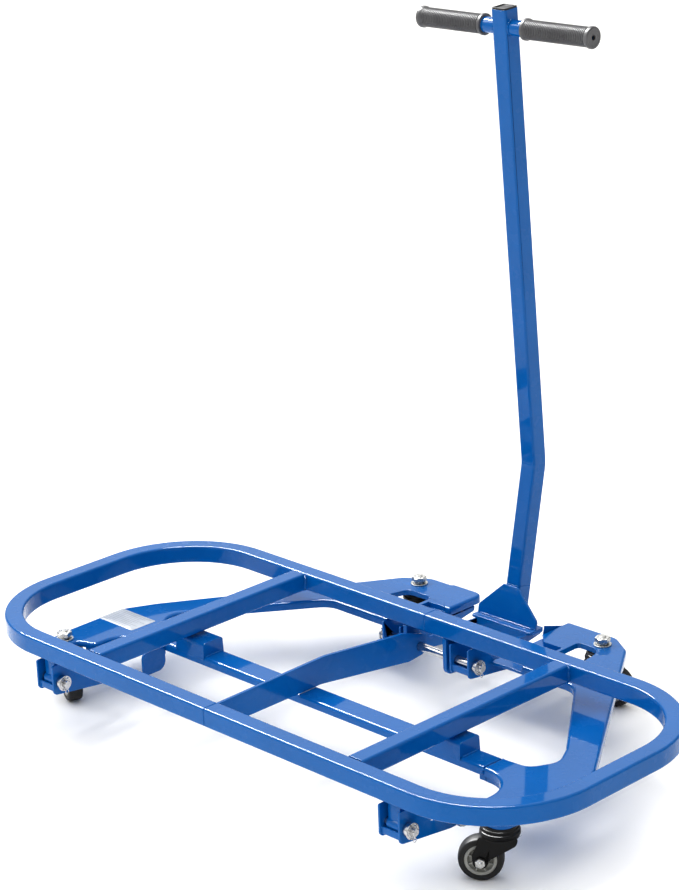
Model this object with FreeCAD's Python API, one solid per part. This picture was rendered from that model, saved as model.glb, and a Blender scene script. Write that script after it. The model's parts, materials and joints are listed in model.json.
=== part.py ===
import FreeCAD, Part
import math
import os

# Low lifting platform cart. A hoop-shaped tube platform lies on a pressed-sheet base with four
# swivel casters. Four channel levers of equal length carry the platform: the two rear ones are
# one weldment with the tall T-handle, so pulling the handle back swings the platform up level.
#
# Frame: X along the platform, Y from the open side to the handle side, Z up from the floor.
# The shapes are drawn with the platform's middle at X = Y = 0, and moved at export so that the
# origin is the bottom centre of the whole cart.

V = FreeCAD.Vector

# ---- driving dimensions, mm ----
PLATFORM_LENGTH = 1180.0
PLATFORM_WIDTH = 496.0
PLATFORM_TOP = 155.0
PLATFORM_CORNER = 175.0        # outer corner radius of the hoop
TUBE = 30.0                    # square tube of platform and handle
TUBE_WALL = 2.0
TUBE_EDGE = 4.0                # corner radius of the square tube
CROSS_BAR_X = 286.0

BASE_TOP = 95.0                # top of the pressed base
SHEET = 3.0
PRESS_DEPTH = 14.0             # depth of the base's turned-down edges
CHANNEL_FRONT = -33.0
CHANNEL_REAR = 9.0
CHANNEL_END = 355.0            # where the cross channel meets the arms
GAP_HALF = 98.0                # half of the gap between the rear plates
REAR_EDGE = 452.0
BEND_R = 5.0                   # outside radius where the base's edges turn down
LOBE_R = 22.0                  # tongue end around each front caster
REAR_PLATES = {                # drawn for the right: gap edge, its corner, lowered panel, window, outer edge
    "right": {"gap": 98.0, "gap_corner": 6.0, "step_x": 160.0, "step_y": 364.0, "chamfer": 24.0,
              "window": [(167, 334, 8), (222, 334, 16), (213, 397, 24), (166, 397, 7)],
              "outer": [(241, 426, 24), (200, REAR_EDGE, 24)]},
    "left": {"gap": 88.0, "gap_corner": 15.0, "step_x": 134.0, "step_y": 368.0, "chamfer": 0.0,
             "window": [(142, 334, 8), (212, 334, 10), (197, 385, 16), (142, 385, 12)],
             "outer": [(244, 421, 24), (201, 448, 24), (158, 448, 4), (153, REAR_EDGE, 4)]},
}

LEVER_WIDTH = 42.0
LEVER_SHEET = 4.0
LEVER_REACH = 102.0            # from pin to pivot, along Y
LEVER_DROP = 20.0              # the pivot is this much lower than the pin
LEVER_HALF_FRONT = 15.0
LEVER_EYE_R = 12.0             # rounded end of a lever at its pivot
LEVER_TAIL_Y = 433.0           # the rear levers run on past their pivot, under the handle
PIN_Z = 89.0
FRONT_LEVER_X = 378.0
REAR_LEVER_X = 74.0
FRONT_PIN_R = 6.0
REAR_SHAFT_R = 7.0
PIVOT_R = 8.0
RUNNING_GAP = 0.05             # radial clearance of every pivot
SKIRT_LOW = 72.0               # how far the skirts at the tongues reach down
SPACER = 8.0                   # thick washer outside a lever
PIN_TAIL = 17.0                # how far a pin runs past its lever

FOOT_TOP = 83.0                # top of the plate that the handle stands on
FOOT_SHEET = 5.0
HANDLE_FOOT = (430.5, 84.0)    # centre line of the handle as (y, z)
HANDLE_BEND = (483.5, 338.0)
HANDLE_TOP = (433.0, 1082.0)
HANDLE_BEND_R = 70.0
STUB_LENGTH = 56.0
CROSSBAR_DROP = 29.0           # from the handle's top to the grip bar
CROSSBAR_LENGTH = 342.0
CROSSBAR_R = 12.5
GRIP_LENGTH = 134.0
GRIP_R = 15.5

CASTERS = {                    # x, y of the swivel axis and the direction the wheel trails
    "front_left": (-476.0, -130.0, -25.0),
    "front_right": (476.0, -130.0, -142.0),
    "rear_left": (-201.0, 415.0, -65.0),
    "rear_right": (201.0, 415.0, 0.0),
}
WHEEL_R = 32.5
WHEEL_WIDTH = 24.0
RIM_R = 23.0
TRAIL = 27.0
CASTER_HEIGHT = BASE_TOP - 9.0
STUD_R = 6.0
AXLE_R = 4.0
BALL_R = 2.5
BALL_CIRCLE = 18.0
BALL_COUNT = 12

# ---- sizes worked out from them ----
PLATFORM_BOTTOM = PLATFORM_TOP - TUBE
LONG_TUBE_Y = PLATFORM_WIDTH / 2 - TUBE / 2
PIVOT_Z = PIN_Z - LEVER_DROP
FRONT_PIN_Y = -LONG_TUBE_Y
REAR_PIN_Y = LONG_TUBE_Y
FRONT_PIVOT_Y = FRONT_PIN_Y + LEVER_REACH
REAR_PIVOT_Y = REAR_PIN_Y + LEVER_REACH
BASE_BOTTOM = BASE_TOP - PRESS_DEPTH
FOOT_LOW = FOOT_TOP - FOOT_SHEET


# ---- drawing helpers ----
def box(x, y, z):
    """Box from three (low, high) pairs."""
    size = (x[1] - x[0], y[1] - y[0], z[1] - z[0])
    return Part.makeBox(*size, V(x[0], y[0], z[0]))


def rod(radius, start, end):
    axis = end - start
    return Part.makeCylinder(radius, axis.Length, start, axis)


def x_rod(radius, x, y, z):
    """Cylinder along X between a (low, high) pair."""
    return rod(radius, V(x[0], y, z), V(x[1], y, z))


def in_xy(z):
    return lambda u, v: V(u, v, z)


def in_yz(x):
    return lambda u, v: V(x, u, v)


def in_xz(y):
    return lambda u, v: V(u, y, v)


def outline(corners, place):
    """Closed wire through corners (u, v, radius), each rounded by a tangent arc."""
    count = len(corners)
    starts, edges = [], []
    for index, (u, v, radius) in enumerate(corners):
        here = V(u, v, 0)
        before = V(*corners[index - 1][:2], 0) - here
        after = V(*corners[(index + 1) % count][:2], 0) - here
        before.normalize()
        after.normalize()
        if radius == 0:
            starts.append((here, here, None))
            continue
        half = before.getAngle(after) / 2
        reach = radius / math.tan(half)
        middle = before + after
        middle.normalize()
        nearest = here + middle * (radius / math.sin(half) - radius)
        starts.append((here + before * reach, here + after * reach, nearest))
    for index, (first, last, nearest) in enumerate(starts):
        if nearest is not None:
            edges.append(Part.Arc(place(*first[:2]), place(*nearest[:2]), place(*last[:2])).toShape())
        following = starts[(index + 1) % count][0]
        if (following - last).Length > 1e-6:
            edges.append(Part.LineSegment(place(*last[:2]), place(*following[:2])).toShape())
    return Part.Wire(edges)


def prism(corners, place, sweep):
    return Part.Face(outline(corners, place)).extrude(sweep)


def square_corners(size, radius, centre=(0.0, 0.0)):
    half = size / 2
    signs = ((-1, -1), (1, -1), (1, 1), (-1, 1))
    return [(centre[0] + a * half, centre[1] + b * half, radius) for a, b in signs]


def revolved(profile, centre, axis, radial):
    """Solid of revolution of (radius, height) points about an axis through centre."""
    wire = Part.makePolygon([centre + radial * r + axis * h for r, h in profile + profile[:1]])
    return Part.Face(wire).revolve(centre, axis, 360)


def z_turned(profile, x, y):
    return revolved(profile, V(x, y, 0), V(0, 0, 1), V(1, 0, 0))


def hexagon(across_flats, centre, axis, height, bore=0.0):
    """Hexagon nut or head with its outer edges chamfered."""
    turn = FreeCAD.Rotation(V(0, 0, 1), axis)
    radius = across_flats / math.sqrt(3)
    points = [V(radius * math.cos(math.radians(60 * k)), radius * math.sin(math.radians(60 * k)), 0)
              for k in range(7)]
    body = Part.Face(Part.makePolygon(points)).extrude(V(0, 0, height))
    flat = across_flats / 2
    rise = (radius - flat) * 0.6
    cone = z_turned([(0, 0), (flat, 0), (radius, rise), (radius, height - rise), (flat, height), (0, height)], 0, 0)
    body = body.common(cone)
    if bore:
        body = body.cut(Part.makeCylinder(bore, height))
    body.Placement = FreeCAD.Placement(centre, turn)
    return body


def ring(outer, inner, start, end):
    return rod(outer, start, end).cut(rod(inner, start, end))


def mirrored(shape):
    return shape.mirror(V(0, 0, 0), V(1, 0, 0))


def square_tube(path, start, place):
    """Square tube swept along a path from its start section."""
    outer = Part.Wire(path).makePipeShell([outline(square_corners(TUBE, TUBE_EDGE, start), place)], True, False)
    inner_size = TUBE - 2 * TUBE_WALL
    inner = Part.Wire(path).makePipeShell(
        [outline(square_corners(inner_size, TUBE_EDGE - TUBE_WALL, start), place)], True, False)
    return outer.cut(inner)


# ---- platform ----
def platform_hoop():
    """Right half of the hoop, butt-welded to its mirror image at the middle of the long sides."""
    z = PLATFORM_TOP - TUBE / 2
    end_x = PLATFORM_LENGTH / 2 - TUBE / 2
    radius = PLATFORM_CORNER - TUBE / 2
    turn_x = end_x - radius
    turn_y = LONG_TUBE_Y - radius
    diagonal = radius * math.sqrt(0.5)
    front_arc = Part.Arc(V(turn_x, -LONG_TUBE_Y, z), V(turn_x + diagonal, -turn_y - diagonal, z),
                         V(end_x, -turn_y, z))
    rear_arc = Part.Arc(V(end_x, turn_y, z), V(turn_x + diagonal, turn_y + diagonal, z),
                        V(turn_x, LONG_TUBE_Y, z))
    path = [
        Part.LineSegment(V(0, -LONG_TUBE_Y, z), V(turn_x, -LONG_TUBE_Y, z)).toShape(),
        front_arc.toShape(),
        Part.LineSegment(V(end_x, -turn_y, z), V(end_x, turn_y, z)).toShape(),
        rear_arc.toShape(),
        Part.LineSegment(V(turn_x, LONG_TUBE_Y, z), V(0, LONG_TUBE_Y, z)).toShape(),
    ]
    return square_tube(path, (-LONG_TUBE_Y, z), in_yz(0))


def cross_bar():
    length = 2 * (LONG_TUBE_Y - TUBE / 2)
    start = -length / 2
    centre = (CROSS_BAR_X, PLATFORM_TOP - TUBE / 2)
    inner_size = TUBE - 2 * TUBE_WALL
    outer = prism(square_corners(TUBE, TUBE_EDGE, centre), in_xz(start), V(0, length, 0))
    inner = prism(square_corners(inner_size, TUBE_EDGE - TUBE_WALL, centre), in_xz(start), V(0, length, 0))
    return outer.cut(inner)


def front_lug():
    """Block under the front tube, between the ears of a lever, set back to clear its rising web."""
    eye, width, set_back = 8.8, 24.0, 4.0
    span = (FRONT_LEVER_X - width / 2, FRONT_LEVER_X + width / 2)
    stem = box(span, (FRONT_PIN_Y - set_back, FRONT_PIN_Y + eye), (PIN_Z, PLATFORM_BOTTOM))
    lug = stem.fuse(x_rod(eye, span, FRONT_PIN_Y, PIN_Z)).removeSplitter()
    return lug.cut(x_rod(FRONT_PIN_R + RUNNING_GAP, span, FRONT_PIN_Y, PIN_Z))


def rear_lug():
    """Plate under the rear tube, beside a rear lever, that hangs on the shaft."""
    x, thickness, low = 39.0, 8.0, PIN_Z - 26
    half = TUBE / 2
    corners = [(REAR_PIN_Y - half, PLATFORM_BOTTOM, 0), (REAR_PIN_Y - half, low, 13),
               (REAR_PIN_Y + half, low, 13), (REAR_PIN_Y + half, PLATFORM_BOTTOM, 0)]
    plate = prism(corners, in_yz(x), V(thickness, 0, 0))
    return plate.cut(x_rod(REAR_SHAFT_R + RUNNING_GAP, (x - 1, x + thickness + 1), REAR_PIN_Y, PIN_Z))


def centre_brace():
    """Flat bar on edge, from the inner face of the front tube to an eye on the rear shaft."""
    x, thickness = -31.0, 6.0
    inner_y = -(LONG_TUBE_Y - TUBE / 2)
    top, low = PLATFORM_TOP - 15.0, BASE_TOP + 2.0
    eye = 15.0
    corners = [
        (inner_y, top - 3, 0),
        (inner_y, PLATFORM_BOTTOM + 1, 0),
        (inner_y + 30, low, 20),
        (15, low, 60),
        (REAR_PIN_Y - 25, PIN_Z - eye - 4, 40),
        (REAR_PIN_Y + eye, PIN_Z - eye, eye - 1),
        (REAR_PIN_Y + eye, PIN_Z + eye + 2, eye - 1),
        (REAR_PIN_Y - 36, PLATFORM_BOTTOM - 3, 30),
        (25, top + 1, 120),
    ]
    bar = prism(corners, in_yz(x), V(thickness, 0, 0))
    return bar.cut(x_rod(REAR_SHAFT_R + RUNNING_GAP, (x - 1, x + thickness + 1), REAR_PIN_Y, PIN_Z))


# ---- levers and their pins ----
def lever(x, pin_y, pin_r, tail=False):
    """Channel lever: two side plates with a low web and a floor set in between them, open on top."""
    pivot = (pin_y + LEVER_REACH, PIVOT_Z)
    nose = pin_y - LEVER_HALF_FRONT
    floor_front, floor_rear = PIN_Z - 19, pivot[1] - LEVER_EYE_R
    top_rear = pivot[1] + LEVER_EYE_R
    heel_y = pivot[0] - 16
    if tail:
        end = [(pivot[0] + 16, floor_rear, 30), (LEVER_TAIL_Y, FOOT_LOW - 8, 5), (LEVER_TAIL_Y, FOOT_LOW, 1),
               (395, FOOT_LOW, 10), (pivot[0] + 14, top_rear, 10)]
    else:
        round_end = LEVER_EYE_R - 0.5
        end = [(pivot[0] + LEVER_EYE_R, floor_rear, round_end), (pivot[0] + LEVER_EYE_R, top_rear, round_end)]
    side = [(nose, PIN_Z + 30, 3), (nose, floor_front, 8), (heel_y, floor_rear, 20)] + end
    side += [(pin_y + 50, top_rear, 15), (pin_y + LEVER_HALF_FRONT, PIN_Z + 30, 3)]
    left = x - LEVER_WIDTH / 2
    body = prism(side, in_yz(left), V(LEVER_WIDTH, 0, 0))
    slope = (floor_rear - floor_front) / (heel_y - nose)
    web_top, web_low, set_back = PIN_Z - 4, floor_front + 3, nose + 3
    front = set_back + LEVER_SHEET
    floor_z = web_low + LEVER_SHEET
    floor_end = heel_y - 24
    inside = left + LEVER_SHEET
    inner_width = V(LEVER_WIDTH - 2 * LEVER_SHEET, 0, 0)
    far = LEVER_TAIL_Y + 60
    cavity = [
        (nose - 10, web_top, 0),
        (front, web_top, 0),
        (front, floor_z, 3),
        (floor_end, floor_z + slope * (floor_end - front), 0),
        (floor_end, floor_rear - 40, 0),
        (far, floor_rear - 40, 0),
        (far, PIN_Z + 60, 0),
        (nose - 10, PIN_Z + 60, 0),
    ]
    below = [
        (nose - 10, web_top, 0),
        (set_back, web_top, 0),
        (set_back, web_low, 4),
        (floor_end, web_low + slope * (floor_end - set_back), 0),
        (floor_end, floor_rear - 40, 0),
        (nose - 10, floor_rear - 40, 0),
    ]
    for hollow in (cavity, below):
        body = body.cut(prism(hollow, in_yz(inside), inner_width))
    span = (left - 1, left + LEVER_WIDTH + 1)
    body = body.cut(x_rod(pin_r, span, pin_y, PIN_Z))
    return body.cut(x_rod(PIVOT_R + RUNNING_GAP, span, *pivot))


def split_pin(x, y, z):
    """Split pin upright through a pin that lies along X, with its eye hanging below."""
    wire_r, eye_r = 1.3, 3.0
    leg = rod(wire_r, V(x, y, z - 9.5), V(x, y, z + 10))
    eye = Part.makeTorus(eye_r, wire_r, V(x, y, z - 9.5 - eye_r), V(1, 0, 0))
    return leg.fuse(eye).removeSplitter()


def split_pin_hole(x, y, z):
    return rod(1.3, V(x, y, z - 20), V(x, y, z + 20))


def clevis_pin(x):
    """Pin of a front lever, its head towards the left and its split pin towards the right."""
    left, right = x - LEVER_WIDTH / 2, x + LEVER_WIDTH / 2
    pin = x_rod(FRONT_PIN_R, (left - 4, right + PIN_TAIL), FRONT_PIN_Y, PIN_Z)
    head = x_rod(FRONT_PIN_R + 2.5, (left - 4, left), FRONT_PIN_Y, PIN_Z)
    pin = pin.fuse(head).removeSplitter()
    return pin.cut(split_pin_hole(right + PIN_TAIL - 3.5, FRONT_PIN_Y, PIN_Z))


def washer_pair(x_low, bore, y):
    """Thick spacer washer beside a lever and a thin polished one outside it."""
    middle, outer = x_low + SPACER, x_low + SPACER + 2.5
    return [ring(11.0, bore, V(x_low, y, PIN_Z), V(middle, y, PIN_Z)),
            ring(12.5, bore, V(middle, y, PIN_Z), V(outer, y, PIN_Z))]


def rear_shaft():
    """Polished shaft that joins the front ends of both rear levers."""
    half = REAR_LEVER_X + LEVER_WIDTH / 2 + PIN_TAIL
    shaft = x_rod(REAR_SHAFT_R, (-half, half), REAR_PIN_Y, PIN_Z)
    for side in (-1, 1):
        shaft = shaft.cut(split_pin_hole(side * (half - 3.5), REAR_PIN_Y, PIN_Z))
    return shaft


# ---- base ----
def pressed_tray(corners):
    """Sheet part with its edges turned down and the bend rounded."""
    drop = V(0, 0, -PRESS_DEPTH)
    face = Part.Face(outline(corners, in_xy(BASE_TOP)))
    hollow = face.makeOffset2D(-SHEET)
    hollow.translate(V(0, 0, -SHEET))
    block = face.extrude(drop)
    rim = [edge for edge in block.Edges if edge.BoundBox.ZMin > BASE_TOP - 0.01]
    return block.makeFillet(BEND_R, rim).cut(hollow.extrude(drop))


def caster_hole(x, y):
    return rod(STUD_R, V(x, y, BASE_TOP - 30), V(x, y, BASE_TOP + 10))


def arm_outline(side):
    """Plan of an arm, drawn for the right: caster tongue, diagonal and broad rear plate."""
    x, y, _ = CASTERS["front_right"]
    gap, gap_corner, step_end = REAR_PLATES[side]["gap"], REAR_PLATES[side]["gap_corner"], REAR_PLATES[side]["step_y"]
    corners = [
        (CHANNEL_END, CHANNEL_FRONT, 0),
        (422, CHANNEL_FRONT - 4, 58),
        (422, -110, 12),
        (x - LOBE_R, -122, 5),
        (x - LOBE_R, y - LOBE_R, LOBE_R - 1),
        (x + LOBE_R, y - LOBE_R, LOBE_R - 1),
        (504, -96, 20),
        (506, 18, 40),
        (479, 70, 40),
    ]
    corners += REAR_PLATES[side]["outer"]
    corners.append((gap, REAR_EDGE, gap_corner))
    if gap < GAP_HALF:
        corners += [(gap, step_end, 4), (GAP_HALF, step_end, 0)]
    corners += [
        (GAP_HALF, 268, 3),
        (268, 268, 38),
        (403, 92, 30),
        (424, 52, 30),
        (402, CHANNEL_REAR + 4, 22),
        (CHANNEL_END, CHANNEL_REAR, 0),
    ]
    return corners


def base_arm(side):
    """Right arm, with the rear plate of the given side: the plates differ in width and window."""
    x, y, _ = CASTERS["front_right"]
    arm = pressed_tray(arm_outline(side))
    arm = arm.cut(box((CHANNEL_END - 1, CHANNEL_END + SHEET + 1), (CHANNEL_FRONT + SHEET, CHANNEL_REAR - SHEET),
                      (BASE_BOTTOM - 1, BASE_TOP - SHEET)))
    arm = arm.cut(tongue_relief())
    arm = arm.cut(prism(window_corners(side, 0), in_xy(BASE_BOTTOM - 1), V(0, 0, PRESS_DEPTH + 2)))
    arm = arm.fuse([window_rim(side), stepped_pan(side)])
    arm = arm.cut(stepped_pan_space(side))
    boss_x, boss_y, _ = CASTERS["rear_right"]
    arm = arm.cut(rod(29.0, V(boss_x, boss_y, BASE_BOTTOM - 1), V(boss_x, boss_y, CASTER_HEIGHT)))
    for at_x, at_y in ((x, y), (boss_x, boss_y)):
        seat = rod(19.5, V(at_x, at_y, CASTER_HEIGHT), V(at_x, at_y, BASE_TOP - SHEET + 0.5))
        arm = arm.fuse(seat).cut(caster_hole(at_x, at_y))
    return arm.removeSplitter()


def tongue_relief():
    """Space that leaves the turned-down edge shallow around the front caster."""
    corners = [(-200, BASE_BOTTOM - 5, 0), (-200, CASTER_HEIGHT, 0), (-112, CASTER_HEIGHT, 0), (-92, BASE_BOTTOM - 1, 0),
               (-92, BASE_BOTTOM - 5, 0)]
    return prism(corners, in_yz(440), V(90, 0, 0))


def window_corners(side, grow):
    """D-shaped window in the rear plate, straight on the handle side."""
    return [(u + a * grow, v + b * grow, radius) for (u, v, radius), (a, b) in
            zip(REAR_PLATES[side]["window"], ((-1, -1), (1, -1), (1, 1), (-1, 1)))]


def window_rim(side):
    outer = prism(window_corners(side, SHEET), in_xy(BASE_TOP - 9), V(0, 0, 9))
    return outer.cut(prism(window_corners(side, 0), in_xy(BASE_TOP - 10), V(0, 0, 11)))


STEP_FRONT = 268.0
STEP_FALL = 9.0


def stepped_pan(side):
    """Lowered panel beside the gap, with a riser that faces the platform."""
    far, back = REAR_PLATES[side]["step_x"], REAR_PLATES[side]["step_y"]
    floor_top = BASE_TOP - STEP_FALL
    wall = (floor_top - SHEET, BASE_TOP - SHEET)
    pan = box((GAP_HALF, far), (STEP_FRONT, back), (floor_top - SHEET, floor_top))
    riser = box((GAP_HALF, far), (back, back + SHEET), wall)
    cheek = box((far, far + SHEET), (STEP_FRONT, back + SHEET), wall)
    pieces = [pan, riser, cheek]
    chamfer = REAR_PLATES[side]["chamfer"]
    if chamfer:
        corner = [(GAP_HALF, back, 0), (GAP_HALF + chamfer, back, 0), (GAP_HALF, back + chamfer, 0)]
        wider = [(GAP_HALF, back, 0), (GAP_HALF + chamfer + 4, back, 0), (GAP_HALF, back + chamfer + 4, 0)]
        pieces.append(prism(corner, in_xy(floor_top - SHEET), V(0, 0, SHEET)))
        pieces.append(prism(wider, in_xy(floor_top - SHEET), V(0, 0, STEP_FALL)).cut(
            prism(corner, in_xy(floor_top - SHEET - 1), V(0, 0, STEP_FALL + 2))))
    return pieces[0].fuse(pieces[1:])


def stepped_pan_space(side):
    far, back, chamfer = (REAR_PLATES[side][key] for key in ("step_x", "step_y", "chamfer"))
    low = BASE_TOP - STEP_FALL
    space = box((GAP_HALF - 1, far), (STEP_FRONT - 1, back), (low, BASE_TOP + 1))
    if chamfer:
        corner = [(GAP_HALF - 1, back - 1, 0), (GAP_HALF + chamfer + 1, back - 1, 0), (GAP_HALF - 1, back + chamfer + 1, 0)]
        space = space.fuse(prism(corner, in_xy(low), V(0, 0, STEP_FALL + 1)))
    return space


def cross_channel():
    span = (-CHANNEL_END, CHANNEL_END)
    section = [(CHANNEL_FRONT, BASE_BOTTOM, 0), (CHANNEL_REAR, BASE_BOTTOM, 0),
               (CHANNEL_REAR, BASE_TOP, BEND_R), (CHANNEL_FRONT, BASE_TOP, BEND_R)]
    outer = prism(section, in_yz(span[0]), V(span[1] - span[0], 0, 0))
    return outer.cut(box(span, (CHANNEL_FRONT + SHEET, CHANNEL_REAR - SHEET), (BASE_BOTTOM, BASE_TOP - SHEET)))


def rest_saddle():
    """Folded saddle, flush with the cross channel, that the lowered platform's cross bar rests over."""
    low_x, length = 245.0, 66.0
    top = PLATFORM_BOTTOM - 6.0
    shell = 4.0
    low = BASE_TOP - BEND_R
    front, rear = CHANNEL_FRONT, CHANNEL_REAR
    outer = [(front, low, 0), (rear, low, 0), (rear, top, 6), (front, top, 6)]
    inner = [(front + shell, BASE_TOP, 0), (rear - shell, BASE_TOP, 0),
             (rear - shell, top - shell, 3), (front + shell, top - shell, 3)]
    saddle = prism(outer, in_yz(low_x), V(length, 0, 0))
    saddle = saddle.cut(prism(inner, in_yz(low_x + shell), V(length - 2 * shell, 0, 0)))
    section = [(CHANNEL_FRONT, BASE_BOTTOM, 0), (CHANNEL_REAR, BASE_BOTTOM, 0),
               (CHANNEL_REAR, BASE_TOP, BEND_R), (CHANNEL_FRONT, BASE_TOP, BEND_R)]
    return saddle.cut(prism(section, in_yz(low_x - 1), V(length + 2, 0, 0)))


def front_pivot_lug():
    """Outrigger from the caster tongue, and the plate on it that holds the front pivot pin."""
    low_x, thickness, end_r = FRONT_LEVER_X + LEVER_WIDTH / 2 + 3, 6.0, 12.0
    top, y = BASE_TOP - 7, FRONT_PIVOT_Y
    corners = [(y - end_r, top, 3), (y - end_r, PIVOT_Z - end_r, end_r - 0.5),
               (y + end_r, PIVOT_Z - end_r, end_r - 0.5), (y + end_r, PIVOT_Z + 9, 4), (y + 7, top, 4)]
    lug = prism(corners, in_yz(low_x), V(thickness, 0, 0))
    outrigger = box((low_x, 462), (y - end_r + 2, y + 7), (CASTER_HEIGHT - 5, top - 1))
    outrigger = outrigger.cut(prism(arm_outline("right"), in_xy(0), V(0, 0, BASE_TOP)))
    x, swivel_y, _ = CASTERS["front_right"]
    outrigger = outrigger.cut(rod(30.5, V(x, swivel_y, 0), V(x, swivel_y, CASTER_HEIGHT)))
    lug = lug.fuse(outrigger)
    return lug.cut(x_rod(PIVOT_R, (low_x - 1, low_x + thickness + 1), y, PIVOT_Z))


def front_pivot_pin():
    """Pin that is held by the lug alone and carries the lever beside it."""
    inner, outer = FRONT_LEVER_X - LEVER_WIDTH / 2 - 2, FRONT_LEVER_X + LEVER_WIDTH / 2 + 3 + 6
    pin = x_rod(PIVOT_R, (inner, outer), FRONT_PIVOT_Y, PIVOT_Z)
    heads = [x_rod(PIVOT_R + 3, ends, FRONT_PIVOT_Y, PIVOT_Z) for ends in ((inner - 3, inner), (outer, outer + 2.5))]
    return pin.fuse(heads).removeSplitter()


def corner_skirt():
    """Strip inside the turned-down edge where the cross channel turns into the tongue."""
    face = Part.Face(outline(arm_outline("right"), in_xy(SKIRT_LOW)))
    outer, inner = face.makeOffset2D(-SHEET), face.makeOffset2D(-SHEET - 2.5)
    rise = V(0, 0, BASE_TOP - SHEET - SKIRT_LOW)
    strip = outer.extrude(rise).cut(inner.extrude(rise))
    strip = strip.common(box((CHANNEL_END + 3, 403), (-84, CHANNEL_FRONT + 8), (0, 200)))
    start = box((345, CHANNEL_END + 4), (CHANNEL_FRONT + SHEET, CHANNEL_FRONT + SHEET + 2.5), (SKIRT_LOW, BASE_TOP - SHEET))
    return strip.fuse(start).removeSplitter()


def left_hanger():
    """Plate that hangs from the front of the cross channel, on the left only."""
    x, thickness = -345.0, 5.0
    top, low = BASE_TOP - BEND_R, 50.0
    corners = [(CHANNEL_FRONT, top, 0), (-80, top, 12), (-80, low, 10), (CHANNEL_FRONT, low, 16)]
    return prism(corners, in_yz(x), V(thickness, 0, 0))


def rear_hinge_plate():
    """Plate under the lowered panel beside the gap, that carries the handle's pivot shaft."""
    end_r, thickness = 14.0, 5.0
    top = BASE_TOP - STEP_FALL - SHEET
    y = REAR_PIVOT_Y
    x = GAP_HALF + SHEET
    corners = [(y - 46, top, 0), (y - end_r, PIVOT_Z - end_r, end_r - 0.5),
               (y + end_r, PIVOT_Z - end_r, end_r - 0.5), (y + 26, top, 0)]
    plate = prism(corners, in_yz(x), V(thickness, 0, 0))
    return plate.cut(x_rod(PIVOT_R, (x - 1, x + thickness + 1), y, PIVOT_Z))


def rear_pivot_shaft():
    half = GAP_HALF + SHEET + 5 + 4
    shaft = x_rod(PIVOT_R, (-half, half), REAR_PIVOT_Y, PIVOT_Z)
    heads = [x_rod(PIVOT_R + 3.5, ends, REAR_PIVOT_Y, PIVOT_Z) for ends in ((-half, 4 - half), (half - 4, half))]
    return shaft.fuse(heads).removeSplitter()


def blank_label():
    return box((-503, -419), (-36, 16), (BASE_TOP, BASE_TOP + 0.4))


# ---- handle ----
def handle_path():
    """Centre line of the bent handle as two straight runs joined by a tangent arc."""
    foot, bend, top = (V(0, *point) for point in (HANDLE_FOOT, HANDLE_BEND, HANDLE_TOP))
    down, up = foot - bend, top - bend
    down.normalize()
    up.normalize()
    half = down.getAngle(up) / 2
    reach = HANDLE_BEND_R / math.tan(half)
    middle = down + up
    middle.normalize()
    nearest = bend + middle * (HANDLE_BEND_R / math.sin(half) - HANDLE_BEND_R)
    return foot, bend + down * reach, nearest, bend + up * reach, top, down * -1


def tilted_section(origin, direction, size, radius):
    """Square section centred on origin, across a direction in the YZ plane."""
    side = V(0, direction.z, -direction.y)
    return outline(square_corners(size, radius), lambda u, v: origin + V(u, 0, 0) + side * v)


def handle_tube():
    foot, arc_start, arc_middle, arc_end, top, direction = handle_path()
    start = foot + direction * STUB_LENGTH
    path = [
        Part.LineSegment(start, arc_start).toShape(),
        Part.Arc(arc_start, arc_middle, arc_end).toShape(),
        Part.LineSegment(arc_end, top).toShape(),
    ]
    sections = ((TUBE, TUBE_EDGE), (TUBE - 2 * TUBE_WALL, TUBE_EDGE - TUBE_WALL))
    outer, inner = (Part.Wire(path).makePipeShell([tilted_section(start, direction, *section)], True, False)
                    for section in sections)
    centre = crossbar_centre()
    return outer.cut(inner).cut(x_rod(CROSSBAR_R, (-TUBE, TUBE), centre.y, centre.z))


def handle_stub():
    """Short socket tube welded to the foot, closed by the seam under the handle."""
    foot, _, _, _, _, direction = handle_path()
    sections = ((TUBE, TUBE_EDGE), (TUBE - 2 * TUBE_WALL, TUBE_EDGE - TUBE_WALL))
    sweep = direction * (STUB_LENGTH + 12)
    start = foot - direction * 12
    outer, inner = (Part.Face(tilted_section(start, direction, *section)).extrude(sweep) for section in sections)
    stub = outer.cut(inner)
    return stub.cut(box((-60, 60), (300, 600), (0, FOOT_TOP)))


def stub_spigot():
    """Solid inner spigot that lines the handle up with its stub."""
    foot, _, _, _, _, direction = handle_path()
    size = TUBE - 2 * TUBE_WALL
    start = foot + direction * (STUB_LENGTH - 30)
    return Part.Face(tilted_section(start, direction, size, TUBE_EDGE - TUBE_WALL)).extrude(direction * 60)


def foot_plate():
    """Plate welded across both rear levers, under the handle, with its front edge turned down."""
    corners = [(-64, 396, 3), (64, 396, 3), (64, 430, 3), (-64, 430, 3)]
    inner = REAR_LEVER_X - LEVER_WIDTH / 2
    plate = prism(corners, in_xy(FOOT_LOW), V(0, 0, FOOT_SHEET))
    return plate.fuse(box((-inner, inner), (396, 396 + FOOT_SHEET), (FOOT_LOW - 13, FOOT_LOW))).removeSplitter()


def handle_gusset():
    """Trapezoid plate on the front of the stub, its foot as wide as the foot plate."""
    foot, _, _, _, _, direction = handle_path()
    thickness, half_foot, half_top, shoulder = 5.0, 63.0, 15.0, 9.0
    front = V(0, -direction.z, direction.y)
    origin = foot + front * (TUBE / 2)
    low = -12.0
    seam = STUB_LENGTH - 2
    corners = [(-half_foot, low, 0), (half_foot, low, 0), (half_foot, shoulder, 10), (half_top, seam, 4),
               (-half_top, seam, 4), (-half_foot, shoulder, 10)]
    plate = prism(corners, lambda u, v: origin + V(u, 0, 0) + direction * v, front * thickness)
    return plate.cut(box((-80, 80), (300, 600), (0, FOOT_TOP)))


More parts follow.
